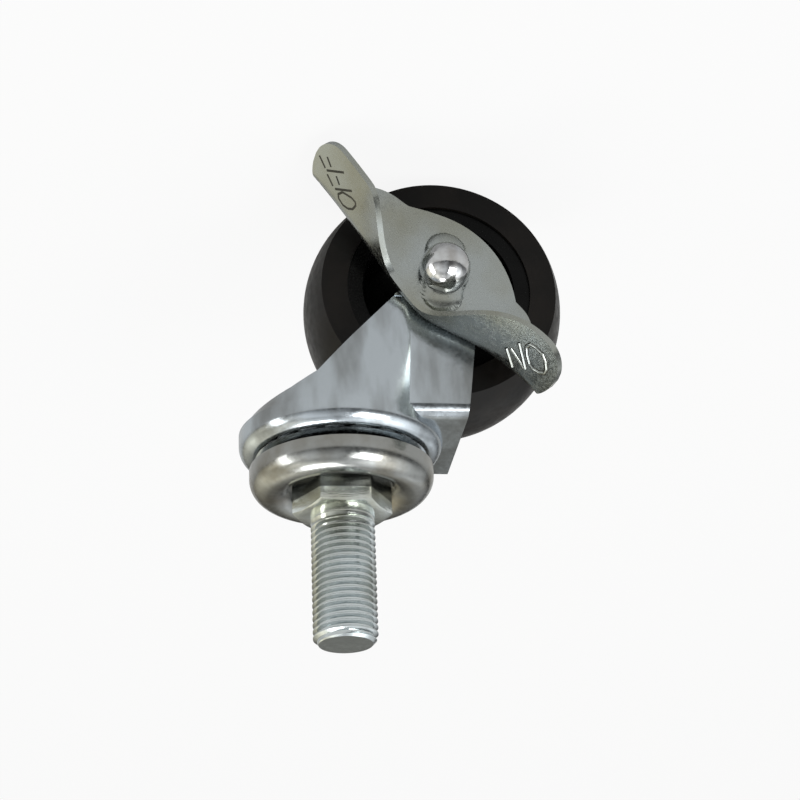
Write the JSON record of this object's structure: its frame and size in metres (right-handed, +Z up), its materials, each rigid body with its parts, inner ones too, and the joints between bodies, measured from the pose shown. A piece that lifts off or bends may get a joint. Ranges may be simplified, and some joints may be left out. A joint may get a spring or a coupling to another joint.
{
  "type": "furniture swivel caster",
  "caption": "Swivel caster with a threaded stem, ball-race swivel head, stamped fork, rubber-tyred wheel and rocking side brake lever.",
  "frame": {"origin": "on the swivel axis, at the face of the hexagon that seats against the furniture", "axes": "+Z up the stem, the wheel trails towards -X, the brake lever is on the -Y side"},
  "size_m": [0.0627, 0.048, 0.0928],
  "materials": {
    "zinc_stem": "bright zinc plating",
    "zinc_cup": "bright zinc plating, slightly yellowed",
    "zinc_fork": "bright zinc plating",
    "zinc_lever": "bright zinc plating",
    "zinc_rivet": "bright zinc plating",
    "ball_steel": "ground steel under grease",
    "hub_plastic": "moulded black plastic",
    "tyre_rubber": "satin black rubber"
  },
  "bodies": {
    "stem_head": {"threaded_stem": "zinc_stem", "upper_race_cup": "zinc_cup", "lower_race": "zinc_fork"},
    "fork_frame": {"fork": "zinc_fork", "axle_rivet": "zinc_rivet"},
    "wheel": {"wheel_hub": "hub_plastic", "tyre": "tyre_rubber"},
    "lever": {"brake_lever": "zinc_lever"},
    "upper_balls": {"upper_ball_1": "ball_steel", "upper_ball_2": "ball_steel", "upper_ball_3": "ball_steel", "upper_ball_4": "ball_steel", "upper_ball_5": "ball_steel", "upper_ball_6": "ball_steel", "upper_ball_7": "ball_steel", "upper_ball_8": "ball_steel", "upper_ball_9": "ball_steel", "upper_ball_10": "ball_steel", "upper_ball_11": "ball_steel", "upper_ball_12": "ball_steel", "upper_ball_13": "ball_steel", "upper_ball_14": "ball_steel", "upper_ball_15": "ball_steel", "upper_ball_16": "ball_steel"},
    "lower_balls": {"lower_ball_1": "ball_steel", "lower_ball_2": "ball_steel", "lower_ball_3": "ball_steel", "lower_ball_4": "ball_steel", "lower_ball_5": "ball_steel", "lower_ball_6": "ball_steel", "lower_ball_7": "ball_steel", "lower_ball_8": "ball_steel", "lower_ball_9": "ball_steel", "lower_ball_10": "ball_steel", "lower_ball_11": "ball_steel", "lower_ball_12": "ball_steel", "lower_ball_13": "ball_steel", "lower_ball_14": "ball_steel"}
  },
  "joints": [
    {"name": "swivel", "type": "hinge", "parent": "stem_head", "child": "fork_frame", "pos_m": [0, 0, -0.012], "axis": [0, 0, 1], "continuous": true},
    {"name": "wheel_spin", "type": "hinge", "parent": "fork_frame", "child": "wheel", "pos_m": [-0.0185, 0, -0.0428], "axis": [0, 1, 0], "continuous": true},
    {"name": "brake_rock", "type": "hinge", "parent": "fork_frame", "child": "lever", "pos_m": [-0.0185, -0.0166, -0.0428], "axis": [0, -1, 0], "range_deg": [0, 30]},
    {"name": "upper_ball_run", "type": "hinge", "parent": "stem_head", "child": "upper_balls", "pos_m": [0, 0, -0.0075], "axis": [0, 0, 1], "continuous": true},
    {"name": "lower_ball_run", "type": "hinge", "parent": "stem_head", "child": "lower_balls", "pos_m": [0, 0, -0.0116], "axis": [0, 0, 1], "continuous": true}
  ],
  "couplings": [
    {"joint": "upper_ball_run", "follows": "swivel", "ratio": 0.5},
    {"joint": "lower_ball_run", "follows": "swivel", "ratio": 0.5}
  ]
}
